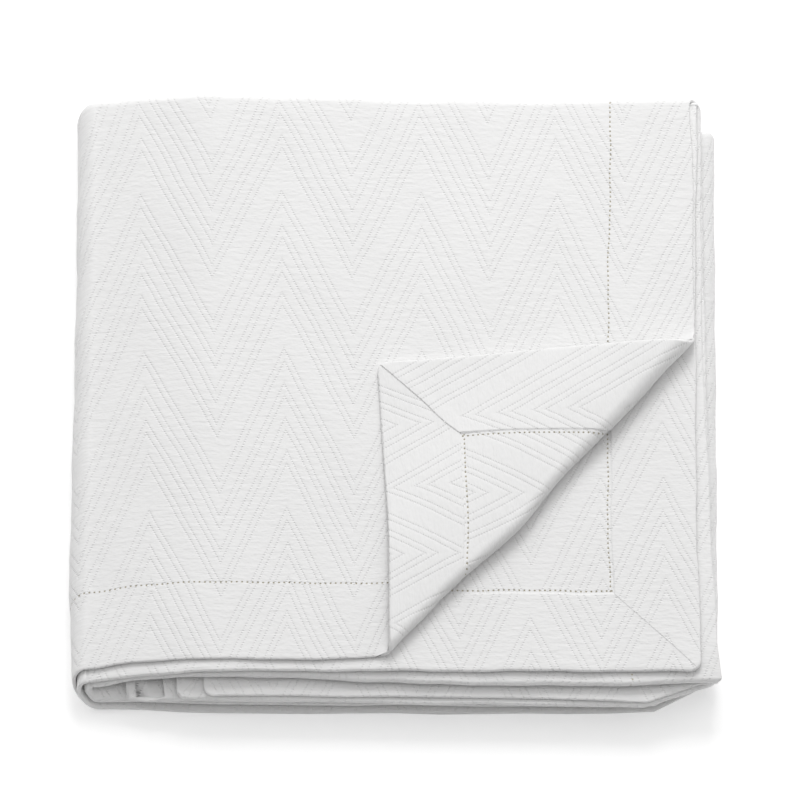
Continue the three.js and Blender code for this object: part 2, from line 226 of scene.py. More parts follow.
# Small waves of the cloth: how far each goes, along which axis, and how they run over the flat cloth.
RIPPLES = (
    {"axis": 0, "rise": 0.5, "across": 160.0, "along": 19.0, "start": 0.0},
    {"axis": 0, "rise": 0.3, "across": 310.0, "along": 7.3, "start": 1.0},
    {"axis": 1, "rise": 0.55, "across": 21.0, "along": 210.0, "start": 0.6},
    {"axis": 1, "rise": 0.35, "across": 8.1, "along": 330.0, "start": 2.0},
    {"axis": 2, "rise": 0.25, "across": 27.0, "along": 35.0, "start": 0.0},
    {"axis": 2, "rise": 0.2, "across": -15.0, "along": 22.0, "start": 1.5},
)

# Hemstitch: the holes' pitch along the row, half their length and half the length of their floor, and the
# radii over which the painted shade inside each hole fades out.
HOLE_PITCH = 5.1
HOLE_HALF = 1.1
HOLE_FLOOR = 0.5
HOLE_SHADE = {"start": 0.6, "end": 1.2}

# Heights of the woven relief in millimetres, and the lengths of its patches across and along the cloth.
RELIEF = {"rib": 0.11, "crinkle": 0.08, "pick": 0.012, "stitch": 0.23, "groove": 0.21, "shoulder": 0.1}
PATCHES = {"sway": (40.0, 18.0), "rib": (18.0, 5.0), "crinkle": (6.0, 2.6), "mottle": (300.0, 260.0)}
GROOVE_WIDTH = {"start": 0.1, "end": 1.3}
SHOULDER_WIDTH = 3.4
PICK_PITCH = 2.2
STITCH_PITCH = 2.6
MOTTLE = 0.985

# The studio, in metres.
FLOOR_HALF = 6.0
FLOOR_GAP = 0.0004
BRIGHT_SIDE = (0.08, 0.45, 0.88)
SKY_BLEND = {"start": -0.1, "end": 0.9}
LAMP = {"place": (0.2, 2.6, 2.9), "size": 1.7}
CAMERA_AIM = (0.0045, 0.019, 0.0)


def ease(share):
    t = np.clip(share, 0, 1)
    return t * t * (3 - 2 * t)


def read_table(rows, key, place, column):
    """The values of a named column at places between two rows of a table."""
    keys = np.array([row[key] for row in rows], float)
    values = np.array([row[column] for row in rows], float)
    low = np.clip(np.searchsorted(keys, place, side="right") - 1, 0, len(keys) - 2)
    share = (place - keys[low]) / (keys[low + 1] - keys[low])
    return values[low] + (values[low + 1] - values[low]) * ease(share)


def run_lines(piece):
    """Mesh lines of a straight run. Each lies at a fixed distance plus a share of the run's length."""
    first = piece.get("first", (0.0,))
    last = piece.get("last", (0.0,))
    inner = np.arange(1, piece["steps"]) / piece["steps"]
    fixed = np.concatenate([first, first[-1] - (first[-1] + last[-1]) * inner, -np.array(last[::-1])])
    share = np.concatenate([np.zeros(len(first)), inner, np.ones(len(last))])
    return fixed, share


def is_run(index):
    """Straight runs and turns follow each other, and a run comes first."""
    return index % 2 == 0


def stations(pieces):
    """The number of the first mesh line of each run or turn, and the number of the last line of all."""
    starts = [0]
    for index, piece in enumerate(pieces):
        count = len(run_lines(piece)[0]) - 1 if is_run(index) else piece["steps"]
        starts.append(starts[-1] + count)
    return starts


PATH_STARTS = stations(PATH)
SECTION_STARTS = stations(SECTION)


def run_mark(piece, line, length):
    """Distance of a mesh line, which may be between two lines, from the start of a run."""
    fixed, share = run_lines(piece)
    numbers = np.arange(len(fixed))
    return np.interp(line, numbers, fixed) + np.interp(line, numbers, share) * length


def section_length(piece, edges):
    if "radius" in piece:
        return np.full_like(edges["back"], math.pi * piece["radius"] * LAYER_PITCH)
    return np.abs(edges[piece["to"]] - edges[piece["from"]])


def bundle_edges(path, cloth_length):
    """The bundle's edges at places on the folding path. The back follows from the cloth's length."""
    edges = {name: read_table(FRONT_EDGES, "path", path, name) for name in ("outer", "second", "fold")}
    edges["fold"] = edges["fold"] + LAYER_PITCH / 2 + SOLID_HALF_THICKNESS
    turned = sum(math.pi * piece["radius"] * LAYER_PITCH for piece in SECTION if "radius" in piece)
    spare = edges["outer"] + edges["second"] + 2 * edges["fold"]
    edges["back"] = (cloth_length - turned + spare) / 4
    return edges


def section_at(row, edges):
    """Distance along the cloth, Y, level and place around the bundle at row stations."""
    found = {name: np.zeros_like(row) for name in ("along", "y", "level", "around")}
    before = np.zeros_like(row)
    for index, piece in enumerate(SECTION):
        length = section_length(piece, edges)
        here = (row >= SECTION_STARTS[index]) & (row <= SECTION_STARTS[index + 1])
        line = row[here] - SECTION_STARTS[index]
        if "radius" in piece:
            share = line / piece["steps"]
            angle = math.pi * share
            reach = piece["side"] * piece["radius"] * LAYER_PITCH
            found["y"][here] = edges[piece["at"]][here] + reach * np.sin(angle)
            level = piece["level"] - piece["rise"] * piece["radius"] * np.cos(angle)
            mark = share * length[here]
        else:
            mark = run_mark(piece, line, length[here])
            share = mark / length[here]
            start, end = edges[piece["from"]][here], edges[piece["to"]][here]
            found["y"][here] = start + (end - start) * share
            level = np.full_like(share, piece["level"])
        found["level"][here] = level * LAYER_PITCH
        found["along"][here] = before[here] + mark
        found["around"][here] = index + share
        before = before + length
    return found


def top_floor(x):
    """Height of the inside of the top third over the floor of the bundle's levels."""
    end = SLOPE_START_X + SLOPE_RISE / SLOPE

    def bend(start, width):
        past = np.clip(x - start + width / 2, 0, width)
        return past * past / (2 * width) + np.maximum(x - start - width / 2, 0)

    run = bend(SLOPE_START_X, SLOPE_BLEND["start"]) - bend(end, SLOPE_BLEND["end"])
    return BUNDLE + 2 * CORE_RADIUS + SLOPE * run


def path_at(column, level, right_edge, cloth_width):
    """Distance across the cloth, X, Z and place on the folding path at column stations."""
    radius = CORE_RADIUS + level
    turned = math.pi * radius
    bottom = np.full_like(level, RIGHT_FOLD_X - LEFT_FOLD_X)
    top = right_edge - LEFT_FOLD_X
    lengths = (top, turned, bottom, turned, cloth_width - top - bottom - 2 * turned)
    found = {name: np.zeros_like(column) for name in ("across", "x", "z", "path")}
    before = np.zeros_like(column)
    for index, (piece, length) in enumerate(zip(PATH, lengths)):
        here = (column >= PATH_STARTS[index]) & (column <= PATH_STARTS[index + 1])
        line = column[here] - PATH_STARTS[index]
        if is_run(index):
            mark = run_mark(piece, line, length[here])
        else:
            mark = length[here] * line / piece["steps"]
        share = mark / length[here]
        angle = math.pi * share
        r = radius[here]
        core = BUNDLE + CORE_RADIUS
        if piece["name"] == "top":
            x = right_edge[here] - mark
            z = top_floor(x) + level[here]
        elif piece["name"] == "left_fold":
            x = LEFT_FOLD_X - r * np.sin(angle)
            z = core + r * np.cos(angle)
        elif piece["name"] == "bottom":
            x = LEFT_FOLD_X + mark
            z = BUNDLE - level[here]
        elif piece["name"] == "right_fold":
            x = RIGHT_FOLD_X + r * np.sin(angle)
            z = core - r * np.cos(angle)
        else:
            x = RIGHT_FOLD_X - mark
            z = BUNDLE + 2 * CORE_RADIUS + level[here]
        found["x"][here] = x
        found["z"][here] = z - BASE
        found["across"][here] = before[here] + mark
        found["path"][here] = index + share
        before = before + length
    return found


def corner_shift(from_side, from_end):
    """How far points near a rounded corner of the sheet move in from its two edges."""
    a = np.maximum(CORNER_RADIUS - from_side, 0)
    b = np.maximum(CORNER_RADIUS - from_end, 0)
    both = (a > 0) & (b > 0)
    scale = np.where(both, 1 - np.maximum(a, b) / np.maximum(np.hypot(a, b), 1e-9), 0)
    return a * scale, b * scale


def fold_place(x, y):
    """Where points of the top layer lie against the corner's fold: distances and the roll's angle."""
    foldward = np.array([math.cos(CORNER_ANGLE), math.sin(CORNER_ANGLE)])
    outward = np.array([foldward[1], -foldward[0]])
    growth = (ROLL_RADIUS["right"] - ROLL_RADIUS["front"]) / ROLL_LENGTH
    start = np.array([CORNER_START_X, 0.0])
    tip = start - foldward * (ROLL_RADIUS["front"] / growth)
    place = np.stack([x, y], axis=-1)
    reach = GLIDE_REACH["before"] + GLIDE_REACH["after"]
    glide = GLIDE * ease(((place - start) @ outward + GLIDE_REACH["before"]) / reach)
    arm = place + glide[:, None] * foldward - tip
    distance = np.hypot(arm[:, 0], arm[:, 1])
    sine = math.sin(math.atan(growth))
    turned = np.arctan2(arm @ outward, arm @ foldward)
    past = distance * np.sin(np.minimum(turned - math.pi * sine, math.pi / 2))
    return {
        "foldward": foldward,
        "outward": outward,
        "tip": tip,
        "arm": arm,
        "distance": distance,
        "sine": sine,
        "turned": turned,
        "roll": turned / sine,
        "past": past,
    }


def turn_corner(position):
    """Turns the corner of the top layer back over a roll and lays it down on the layer."""
    x, y, z = position.T
    fold = fold_place(x, y)
    distance, sine, roll = fold["distance"], fold["sine"], fold["roll"]
    radius = distance * sine
    angle = fold["turned"] - math.pi * sine
    rolling = (roll > 0) & (roll < math.pi)
    laid = roll >= math.pi
    lengthwise = np.where(laid, distance * np.cos(angle), distance)
    sideways = np.where(laid, -distance * np.sin(angle), np.where(rolling, radius * np.sin(roll), 0))
    flat = fold["arm"] @ np.stack([fold["foldward"], fold["outward"]]).T
    lengthwise = np.where(roll <= 0, flat[:, 0], lengthwise)
    sideways = np.where(roll <= 0, flat[:, 1], sideways)
    down = ease(fold["past"] / FLAP_SETTLE)
    height = np.where(laid, 2 * radius + (FLAP_REST - 2 * radius) * down, 0)
    height = np.where(rolling, radius * (1 - np.cos(roll)), height)
    place = distance - ROLL_RADIUS["front"] / sine
    bow = read_table(FOLD_BOW, "place", place, "out") * (1 - ease(np.abs(sideways) / BOW_REACH))
    spot = fold["tip"] + lengthwise[:, None] * fold["foldward"] + (sideways + bow)[:, None] * fold["outward"]
    return np.column_stack([spot, z + height])


def tuck(table, height, y, sideness):
    """How far points under the top third are moved at the front of a fold."""
    frontness = 1 - ease((y - FRONT_Y) / table["depth"])
    lowness = ease((table["top"] - height) / (table["top"] - table["bottom"]))
    return frontness * sideness * lowness


def settle(position):
    """The pile is a little uneven: its left side leans out at the front and its height varies."""
    x, y, z = position.T
    left = tuck(LEFT_TUCK, z, y, 1 - ease((x - LEFT_FOLD_X) / LEFT_TUCK["width"]))
    right = tuck(RIGHT_TUCK, z, y, ease((x - RIGHT_TUCK["start"]) / RIGHT_TUCK["width"]))
    frontness = 1 - ease(y / LEFT_LEAN["depth"])
    leftness = 1 - ease((x - LEFT_FOLD_X) / LEFT_LEAN["width"])
    lean = LEFT_LEAN["out"] * frontness * leftness - LEFT_TUCK["inward"] * left
    wave = sum(row["rise"] * np.sin(x / row["x"] + y / row["y"]) for row in WAVES)
    height = z + (z - SOLID_HALF_THICKNESS) * wave
    return np.column_stack([x - lean - MIDDLE_X, y + RIGHT_TUCK["back"] * right - MIDDLE_Y, height])


def near_hem(distance):
    """How much of a hem's pull a place gets: none at the edge, all at the stitching, less beyond it."""
    rise = ease((distance - PULL_REACH["start"]) / PULL_REACH["hem"])
    return rise * (1 - ease((distance - PULL_REACH["ground"]) / PULL_REACH["fade"]))


def back_reach(place, y, back):
    """How much further back the back edge of the top third lies, most where it slopes down to the left."""
    drop = top_floor(RIGHT_FOLD_X) - top_floor(np.maximum(place["x"], LEFT_FOLD_X))
    on_top = 1 - ease(place["path"] - 1)
    far = np.exp(-np.maximum(back - y, 0) / BACK_REACH["depth"])
    return (BACK_REACH["flat"] + BACK_REACH["slope"] * drop) * far * on_top


def ripple(across, along):
    """How far the small waves of the cloth move points."""
    moved = np.zeros((len(across), 3))
    for row in RIPPLES:
        turn = across / row["across"] + along / row["along"] + row["start"]
        moved[:, row["axis"]] += row["rise"] * np.sin(turn)
    return moved


def fold_cloth(column, row, cloth):
    """The folded sheet's middle surface before its corner is turned back, at mesh stations."""
    flat_edges = bundle_edges(np.zeros_like(row), cloth["length"])
    flat = section_at(row, flat_edges)
    right_edge = read_table(RIGHT_EDGES, "around", flat["around"], "x")
    place = path_at(column, flat["level"], right_edge, cloth["width"])
    edges = bundle_edges(place["path"], cloth["length"])
    section = section_at(row, edges)
    across, along = place["across"], section["along"]
    inward, back = corner_shift(
        np.minimum(across, cloth["width"] - across), np.minimum(along, cloth["length"] - along)
    )
    towards = np.where(across < cloth["width"] / 2, -1, 1)
    side = read_table(SIDE_PULL, "along", along, "inward") * near_hem(across)
    front = END_PULL["front"] * near_hem(along)
    second = END_PULL["second"] * near_hem(cloth["length"] - along)
    x = place["x"] + towards * inward + side
    y = section["y"] + back - front - second + back_reach(place, section["y"], edges["back"])
    drift = ease((across - DRIFT["start"]) / DRIFT["width"]) * ease(1 - along / DRIFT["depth"])
    pattern = np.column_stack([across - side + DRIFT["across"] * drift, along - front + second])
    position = np.column_stack([x, y, place["z"]])
    return {"across": across, "along": along, "position": position, "pattern": pattern}


def is_on_top(column, row):
    return (column <= PATH_STARTS[1]) & (row <= SECTION_STARTS[1])


def lay_cloth(column, row, cloth):
    """The middle surface as it lies, its corner turned back."""
    folded = fold_cloth(column, row, cloth)
    position = folded["position"]
    on_top = is_on_top(column, row)
    position[on_top] = turn_corner(position[on_top])
    return settle(position) + ripple(folded["across"], folded["along"])


def face_direction(column, row, cloth):
    """The direction that the cloth's face looks in, from small steps along both sets of mesh lines."""
    step = 0.02

    def change(towards_column, towards_row):
        ends = []
        for way in (1, -1):
            c = np.clip(column + way * towards_column, 0, PATH_STARTS[-1])
            r = np.clip(row + way * towards_row, 0, SECTION_STARTS[-1])
            ends.append(lay_cloth(c, r, cloth))
        return ends[0] - ends[1]

    normal = np.cross(change(0, step), change(step, 0))
    return normal / np.linalg.norm(normal, axis=1)[:, None]


class Sheet:
    """One side of the cloth as triangles between mesh stations. A place holds the distances across and
    along the flat cloth, X and Y before the corner is turned back, and the place in the pattern."""

    def __init__(self, cloth):
        self.cloth = cloth
        columns = np.arange(PATH_STARTS[-1] + 1)
        rows = np.arange(SECTION_STARTS[-1] + 1)
        grid_column, grid_row = np.meshgrid(columns, rows)
        self.station = np.column_stack([grid_column.ravel(), grid_row.ravel()]).astype(float)
        width = len(columns)
        a = (np.arange(len(rows) - 1)[:, None] * width + np.arange(width - 1)).ravel()
        b, c, d = a + 1, a + width, a + width + 1
        self.triangles = np.concatenate([np.column_stack([a, c, b]), np.column_stack([b, c, d])])
        folded = fold_cloth(*self.station.T, cloth)
        flat = [folded["across"], folded["along"]]
        self.place = np.column_stack([*flat, folded["position"][:, :2], folded["pattern"]])
        self.rim = self.from_edge() < 1e-6

    def from_edge(self):
        across, along = self.place[:, 0], self.place[:, 1]
        from_side = np.minimum(across, self.cloth["width"] - across)
        return np.minimum(from_side, np.minimum(along, self.cloth["length"] - along))

    def slice(self, field, levels, region, near):
        """Cuts the triangles of a region so that mesh lines follow each level of a field."""
        value = field(self)
        allowed = region(self)
        touching = allowed[self.triangles].sum(axis=1) > 1
        done = [self.triangles[~touching]]
        active = self.triangles[touching]
        for level in sorted(levels):
            corner_value = value[active]
            passed = corner_value.max(axis=1) <= level + near
            crossing = ~passed & (corner_value.min(axis=1) < level - near)
            done.append(active[passed])
            cut, value, allowed = self.slice_once(active[crossing], value, allowed, level, near)
            active = np.concatenate([active[~passed & ~crossing], cut])
        self.triangles = np.concatenate([*done, active])

    def slice_once(self, corner, value, allowed, level, near):
        side = np.where(np.abs(value - level) < near, 0, np.sign(value - level))
        following = np.roll(corner, -1, axis=1)
        crossed = (side[corner] * side[following] < 0) & allowed[corner] & allowed[following]
        crossed &= ~(self.rim[corner] & self.rim[following])
        count = crossed.sum(axis=1)
        if not count.any():
            return corner, value, allowed
        low = np.minimum(corner[crossed], following[crossed])
        high = np.maximum(corner[crossed], following[crossed])
        _, first, which = np.unique(low * len(self.station) + high, return_index=True, return_inverse=True)
        low, high = low[first], high[first]
        share = ((level - value[low]) / (value[high] - value[low]))[:, None]
        first_new = len(self.station)
        made_station = self.station[low] * (1 - share) + self.station[high] * share
        made_place = self.place[low] * (1 - share) + self.place[high] * share
        self.station = np.concatenate([self.station, made_station])
        self.place = np.concatenate([self.place, made_place])
        self.rim = np.concatenate([self.rim, np.zeros(len(low), bool)])
        value = np.concatenate([value, np.full(len(low), float(level))])
        allowed = np.concatenate([allowed, np.ones(len(low), bool)])
        made = np.full(corner.shape, -1)
        made[crossed] = first_new + which.ravel()
        pieces = [corner[count == 0]]
        # One cut edge: the triangle turned so that its cut edge is the first.
        one = count == 1
        turn = crossed[one].argmax(axis=1)
        a, b, c = self.turned(corner[one], turn)
        m = made[one][np.arange(one.sum()), turn]
        pieces += [np.column_stack([a, m, c]), np.column_stack([m, b, c])]
        # Two cut edges: the triangle turned so that the edge left whole is the second.
        two = count == 2
        turn = (crossed[two].argmin(axis=1) + 2) % 3
        a, b, c = self.turned(corner[two], turn)
        ab, _, ca = self.turned(made[two], turn)
        pieces += [np.column_stack([a, ab, ca]), np.column_stack([ab, b, c]), np.column_stack([ab, c, ca])]
        return np.concatenate(pieces), value, allowed

    @staticmethod
    def turned(rows, turn):
        index = np.arange(len(rows))
        return tuple(rows[index, (turn + k) % 3] for k in range(3))


def across_of(sheet):
    return sheet.place[:, 0]


def along_of(sheet):
    return sheet.place[:, 1]


def roll_of(sheet):
    return fold_place(sheet.place[:, 2], sheet.place[:, 3])["roll"]


def past_of(sheet):
    return fold_place(sheet.place[:, 2], sheet.place[:, 3])["past"]


def top_layer(sheet):
    return is_on_top(*sheet.station.T)


def turned_zone(sheet):
    fold = fold_place(sheet.place[:, 2], sheet.place[:, 3])
    return top_layer(sheet) & (fold["roll"] > -1)


def outer_skin(sheet):
    """The outside of the pile: the outer layer on the top, the left fold and the right fold."""
    column, row = sheet.station.T
    seen = (column <= PATH_STARTS[2]) | ((column >= PATH_STARTS[3]) & (column <= PATH_STARTS[4]))
    return seen & (row <= SECTION_STARTS[2]) & (sheet.from_edge() > RIM_KEPT)


def second_corner(sheet):
    """The corner of the second layer that the turned-back corner uncovers."""
    from_end = sheet.cloth["length"] - along_of(sheet)
    near = (across_of(sheet) < SECOND_SEEN["across"]) & (from_end < SECOND_SEEN["from_end"])
    return (sheet.station[:, 1] >= SECTION_STARTS[6]) & near


def reverse_seen(sheet):
    return (turned_zone(sheet) | second_corner(sheet)) & (sheet.from_edge() > RIM_KEPT)


def edge_distances(sheet):
    """How far points are from the nearer side edge and the nearer end edge of the flat cloth."""
    across, along = sheet.place[:, 0], sheet.place[:, 1]
    from_side = np.minimum(across, sheet.cloth["width"] - across)
    from_end = np.minimum(along, sheet.cloth["length"] - along)
    return from_side, from_end


def cut_turned_corner(sheet):
    sheet.slice(roll_of, [math.pi * k / ROLL_STEPS for k in range(ROLL_STEPS + 1)], top_layer, near=0.01)
    sheet.slice(past_of, np.arange(FLAP_CUT_PITCH, FLAP_SETTLE + 1, FLAP_CUT_PITCH), turned_zone, near=0.5)


def field_range(sheet, field, region):
    values = field(sheet)[region(sheet)]
    return values.min(), values.max()


def pattern_shift(sheet, panel):
    """How far the pattern of a panel of the reverse is shifted across, on the top and second layers."""
    second = sheet.station[:, 1] >= SECTION_STARTS[6]
    top = np.where(top_layer(sheet), PATTERN_SHIFT["top"][panel], 0.0)
    return np.where(second, PATTERN_SHIFT["second"][panel], top)


def side_hem_across(sheet):
    """Across in the pattern of the side hems, which show the cloth that lies beyond the edge."""
    return pattern_shift(sheet, "side") - sheet.place[:, 4]


def end_hem_along(sheet):
    along = sheet.place[:, 5]
    middle = sheet.cloth["length"] / 2
    return np.where(along < middle, -along, 2 * sheet.cloth["length"] - along)


def cut_mitres(sheet):
    def gap(sheet):
        from_side, from_end = edge_distances(sheet)
        return from_end - from_side

    def corner(sheet):
        from_side, from_end = edge_distances(sheet)
        return (from_side <= STEP_LINES[1] + 0.01) & (from_end <= STEP_LINES[1] + 0.01)

    sheet.slice(gap, MITRE_LINES, corner, near=0.05)


def cut_holes(sheet, region):
    """Cuts the strips beside the hems across at both sides of every hole."""
    for field, other in ((across_of, 1), (along_of, 0)):
        extent = sheet.cloth["width"] if other else sheet.cloth["length"]
        limit = sheet.cloth["length"] if other else sheet.cloth["width"]

        def strip(sheet):
            distance = np.minimum(sheet.place[:, other], limit - sheet.place[:, other])
            return region(sheet) & (np.abs(distance - HOLE_LINE) <= HOLE_STRIP[-1] + 0.01)

        low, high = field_range(sheet, field, strip)
        low = max(low, HOLE_LINE - HOLE_CORNER)
        high = min(high, extent - HOLE_LINE + HOLE_CORNER)
        centres = HOLE_PITCH * np.arange(math.ceil(low / HOLE_PITCH), math.floor(high / HOLE_PITCH) + 1)
        edges = (-HOLE_HALF, -HOLE_FLOOR, HOLE_FLOOR, HOLE_HALF)
        sheet.slice(field, [centre + edge for centre in centres for edge in edges], strip, near=0.02)


def hole_depth(sheet):
    """How far the floor of each hemstitch hole lies below the cloth, from 0 to 1."""
    from_side, from_end = edge_distances(sheet)
    deep = np.zeros(len(from_side))
    for distance, runs, other in ((from_end, 0, from_side), (from_side, 1, from_end)):
        along = sheet.place[:, runs]
        to_centre = np.abs((along + HOLE_PITCH / 2) % HOLE_PITCH - HOLE_PITCH / 2)
        floor = (np.abs(distance - HOLE_LINE) < HOLE_FLOOR + 0.05) & (to_centre < HOLE_FLOOR + 0.05)
        deep = np.where(floor & (other > HOLE_LINE - HOLE_CORNER), 1, deep)
    return deep


class ClothSettings(bpy.types.PropertyGroup):
    """Sizes and finish of the coverlet's cloth."""

    width: bpy.props.FloatProperty(
        name="Width", description="Width of the flat coverlet", default=1.8, unit="LENGTH"
    )
    length: bpy.props.FloatProperty(
        name="Length", description="Length of the flat coverlet", default=2.5, unit="LENGTH"
    )
    thickness: bpy.props.FloatProperty(
        name="Thickness", description="Thickness of the single cloth", default=0.0028, unit="LENGTH"
    )
    hem_extra: bpy.props.FloatProperty(
        name="Hem thickness", description="How much the turned-in hem adds", default=0.001, unit="LENGTH"
    )
    seam_step: bpy.props.FloatProperty(
        name="Mitre step", description="Step of the overlapped seam of a mitre", default=0.001, unit="LENGTH"
    )
    seam_dip: bpy.props.FloatProperty(
        name="Mitre dip", description="Depth of the seam line of a mitre", default=0.0009, unit="LENGTH"
    )
    hole_depth: bpy.props.FloatProperty(
        name="Hole depth", description="Depth of the hemstitch holes", default=0.0012, unit="LENGTH"
    )
    colour: bpy.props.FloatVectorProperty(
        name="Cotton", description="Colour of the cotton", default=(0.80, 0.797, 0.795), subtype="COLOR"
    )
    # Painted shade: a brownish colour inside the hemstitch holes stands in for the shade that falls into
    # them.
    hole_colour: bpy.props.FloatVectorProperty(
        name="Hole",
        description="Colour inside the hemstitch holes",
        default=(0.52, 0.48, 0.38),
        subtype="COLOR",
    )


class StageSettings(bpy.types.PropertyGroup):
    """The camera, the floor and the light."""

    elevation: bpy.props.FloatProperty(
        name="Elevation",
        description="Camera's angle above the floor",
        default=math.radians(66),
        subtype="ANGLE",
    )
    distance: bpy.props.FloatProperty(
        name="Distance", description="Camera's distance", default=18.0, unit="LENGTH"
    )
    view_width: bpy.props.FloatProperty(
        name="View width", description="Width that the picture shows at the pile", default=0.8, unit="LENGTH"
    )
    floor_colour: bpy.props.FloatVectorProperty(
        name="Floor", description="Colour of the floor", default=(0.82, 0.82, 0.82), subtype="COLOR"
    )
    floor_glow: bpy.props.FloatProperty(
        name="Floor glow", description="Light that a lit floor gives off by itself", default=0.32
    )
    sky_strength: bpy.props.FloatProperty(
        name="Room light", description="Strength of the soft light all round", default=1.0
    )
    dim_sky: bpy.props.FloatProperty(
        name="Dim side", description="Light from the dim side against the bright one", default=0.06
    )
    lamp_strength: bpy.props.FloatProperty(
        name="Window light", description="Power of the light from behind in watts", default=66.0
    )


class Value:
    """A socket in an expression. Sums, products and the like add Math nodes."""

    def __init__(self, nodes, socket):
        self.nodes = nodes
        self.socket = socket

    def math(self, operation, *others):
        return self.nodes.math(operation, self, *others)

    def __add__(self, other):
        return self.math("ADD", other)

    def __sub__(self, other):
        return self.math("SUBTRACT", other)

    def __mul__(self, other):
        return self.math("MULTIPLY", other)

    def __truediv__(self, other):
        return self.math("DIVIDE", other)

    def __mod__(self, other):
        return self.math("FLOORED_MODULO", other)

    def __abs__(self):
        return self.math("ABSOLUTE")

    def __rsub__(self, other):
        return self.nodes.math("SUBTRACT", other, self)

    __radd__ = __add__
    __rmul__ = __mul__


class Nodes:
    """Makes the nodes of one material."""

    def __init__(self, tree):
        self.tree = tree
        tree.nodes.clear()

    def add(self, kind, settings=None, sockets=None, output=0):
        node = self.tree.nodes.new(kind)
        for name, value in (settings or {}).items():
            setattr(node, name, value)
        for name, value in (sockets or {}).items():
            if isinstance(value, Value):
                self.tree.links.new(value.socket, node.inputs[name])
            else:
                node.inputs[name].default_value = value
        return Value(self, node.outputs[output]) if len(node.outputs) else None

    def math(self, operation, *values):
        return self.add("ShaderNodeMath", {"operation": operation}, dict(enumerate(values)))

    def smooth(self, value, start, end):
        """0 before start, 1 after end and an S curve between them."""
        sockets = {"Value": value, "From Min": start, "From Max": end}
        return self.add("ShaderNodeMapRange", {"interpolation_type": "SMOOTHSTEP"}, sockets)

    def mix(self, factor, first, second):
        """A colour between two colours."""
        return self.add("ShaderNodeMix", {"data_type": "RGBA"}, {0: factor, 6: first, 7: second}, output=2)


def cotton_material(cloth):
    """Matelasse cotton: fine picks, wavy ribs, stitched lines and painted brown shade inside the holes."""
    material = bpy.data.materials.new("matelasse_cotton")
    material.use_nodes = True
    nodes = Nodes(material.node_tree)

    def map_in_mm(name):
        place = nodes.add("ShaderNodeUVMap", {"uv_map": name})
        parts = nodes.add("ShaderNodeSeparateXYZ", sockets={"Vector": place}).socket.node.outputs
        return Value(nodes, parts[0]) * 1000.0, Value(nodes, parts[1]) * 1000.0

    across, along = map_in_mm("pattern")
    tri = nodes.math("PINGPONG", across - PEAK_ACROSS, HALF_PERIOD) / HALF_PERIOD
    phase = (along + tri * CHEVRON_DROP) % REPEAT
    nearest = abs(phase - REPEAT)
    for band in BANDS:
        nearest = nodes.math("MINIMUM", nearest, abs(phase - band))
    off = abs(nearest - GROOVE_OFFSET) * SQUARE_ON
    groove = 1.0 - nodes.smooth(off, GROOVE_WIDTH["start"], GROOVE_WIDTH["end"])
    shoulder = 1.0 - nodes.smooth(off, 0.0, SHOULDER_WIDTH)

    def noise(patches, detail=2.0):
        """Noise between about -1 and 1 in patches of a named size."""
        scale_across, scale_along = PATCHES[patches]
        sockets = {"X": across / scale_across, "Y": along / scale_along}
        vector = nodes.add("ShaderNodeCombineXYZ", sockets=sockets)
        sockets = {"Vector": vector, "Scale": 1.0, "Detail": detail, "Roughness": 0.5}
        return (nodes.add("ShaderNodeTexNoise", {"noise_dimensions": "2D"}, sockets) - 0.5) * 4.0

    sway = noise("sway")
    rib = noise("rib", 1.0)
    crinkle = noise("crinkle", 1.0)
    pick = nodes.math("SINE", (along + sway) * (2 * math.pi / PICK_PITCH))
    stitch = nodes.math("SINE", along * (2 * math.pi / STITCH_PITCH) + sway)
    ground = rib * RELIEF["rib"] + crinkle * RELIEF["crinkle"] + pick * RELIEF["pick"]
    line = groove * (stitch * RELIEF["stitch"] - RELIEF["groove"]) - shoulder * RELIEF["shoulder"]
    bump = nodes.add("ShaderNodeBump", sockets={"Strength": 1.0, "Distance": MM, "Height": ground + line})

    side, end = map_in_mm("cloth")
    width, length = cloth["width"], cloth["length"]
    from_side = nodes.math("MINIMUM", side, width - side)
    from_end = nodes.math("MINIMUM", end, length - end)

    # A soft spot of painted shade over each hole of a row, where the holes look dark.
    def row_of_hole_shade(distance, run, other):
        to_centre = abs((run + HOLE_PITCH / 2) % HOLE_PITCH - HOLE_PITCH / 2)
        off = nodes.math("SQRT", to_centre * to_centre + (distance - HOLE_LINE) * (distance - HOLE_LINE))
        shade = 1.0 - nodes.smooth(off, HOLE_SHADE["start"], HOLE_SHADE["end"])
        return shade * nodes.math("GREATER_THAN", other, HOLE_LINE - HOLE_CORNER)

    # The painted hole shade: the hem at full width lies inside the pile, so the side row follows the right
    # hem alone.
    end_rows = row_of_hole_shade(from_end, side, from_side)
    side_row = row_of_hole_shade(side, end, from_end)
    holes = nodes.math("MAXIMUM", end_rows, side_row)
    mottle = nodes.smooth(noise("mottle"), -1.0, 1.0)
    shade = nodes.mix(mottle, (*cloth["colour"], 1), (*(c * MOTTLE for c in cloth["colour"]), 1))
    # The holes get painted shade over the cotton.
    colour = nodes.mix(holes, shade, (*cloth["hole_colour"], 1))
    sockets = {
        "Base Color": colour,
        "Normal": bump,
        "Roughness": 0.9,
        "Specular IOR Level": 0.2,
        "Sheen Weight": 0.15,
        "Sheen Roughness": 0.5,
    }
    surface = nodes.add("ShaderNodeBsdfPrincipled", sockets=sockets)
    nodes.add("ShaderNodeOutputMaterial", sockets={"Surface": surface})
    return material


